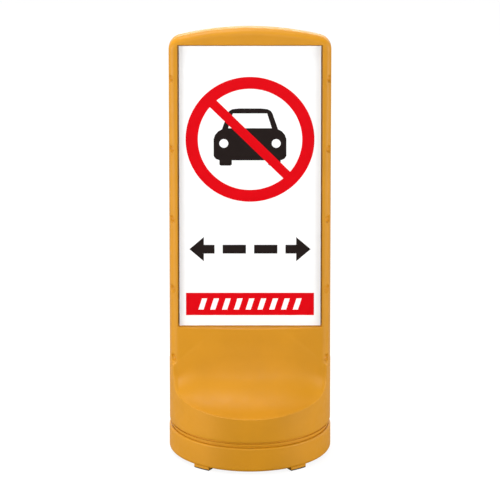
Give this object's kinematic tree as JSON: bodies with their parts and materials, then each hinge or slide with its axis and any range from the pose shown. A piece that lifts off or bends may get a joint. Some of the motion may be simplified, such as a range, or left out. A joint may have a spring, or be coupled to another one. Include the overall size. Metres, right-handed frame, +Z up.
{
  "type": "freestanding sign",
  "caption": "Freestanding water-weighted sign stand: a hollow yellow arched board on a round drum and base ring, with a prohibition panel on its front.",
  "frame": {"origin": "on the floor, under the middle of the round base", "axes": "+Z up, the sign panel faces -Y, the filler and the drain are at the +Y side, +X is the panel's right as a reader sees it"},
  "size_m": [0.44, 0.44, 1.2],
  "materials": {
    "yellow_body": "moulded polyethylene, satin",
    "yellow_base": "moulded polyethylene, satin",
    "pad_rubber": "matt",
    "steel": "zinc plated",
    "brass_insert": "turned",
    "white_sheet": "satin",
    "printed_film": "printed, satin",
    "foam_tape": "closed-cell foam",
    "black_plastic": "fine texture",
    "seal_rubber": "matt"
  },
  "bodies": {
    "stand": {"body_shell": "yellow_body", "base_ring": "yellow_base", "foot_pad_front_left": "pad_rubber", "foot_pad_front_right": "pad_rubber", "foot_pad_rear_left": "pad_rubber", "foot_pad_rear_right": "pad_rubber", "base_screws": "steel", "screw_washers": "steel", "screw_inserts": "brass_insert", "sign_sheet": "white_sheet", "sign_film": "printed_film", "tape_left": "foam_tape", "tape_middle": "foam_tape", "tape_right": "foam_tape"},
    "filler_seal": {"filler_seal": "seal_rubber"},
    "filler_cap": {"filler_cap": "black_plastic"},
    "drain_seal": {"drain_seal": "seal_rubber"},
    "drain_plug": {"drain_plug": "black_plastic"}
  },
  "joints": [
    {"name": "filler_cap_lift", "type": "slide", "parent": "stand", "child": "filler_seal", "axis": [0, 0, 1], "range_m": [0, 0.0106]},
    {"name": "filler_cap_turn", "type": "hinge", "parent": "filler_seal", "child": "filler_cap", "pos_m": [0, 0.165, 0.19], "axis": [0, 0, 1], "range_deg": [0, 1080]},
    {"name": "drain_plug_draw", "type": "slide", "parent": "stand", "child": "drain_seal", "axis": [0, 1, 0], "range_m": [0, 0.0081]},
    {"name": "drain_plug_turn", "type": "hinge", "parent": "drain_seal", "child": "drain_plug", "pos_m": [0, 0.195, 0.125], "axis": [0, 1, 0], "range_deg": [0, 1440]}
  ],
  "couplings": [
    {"joint": "filler_cap_lift", "follows": "filler_cap_turn", "m_per_rad": 0.00055704},
    {"joint": "drain_plug_draw", "follows": "drain_plug_turn", "m_per_rad": 0.00031831}
  ]
}
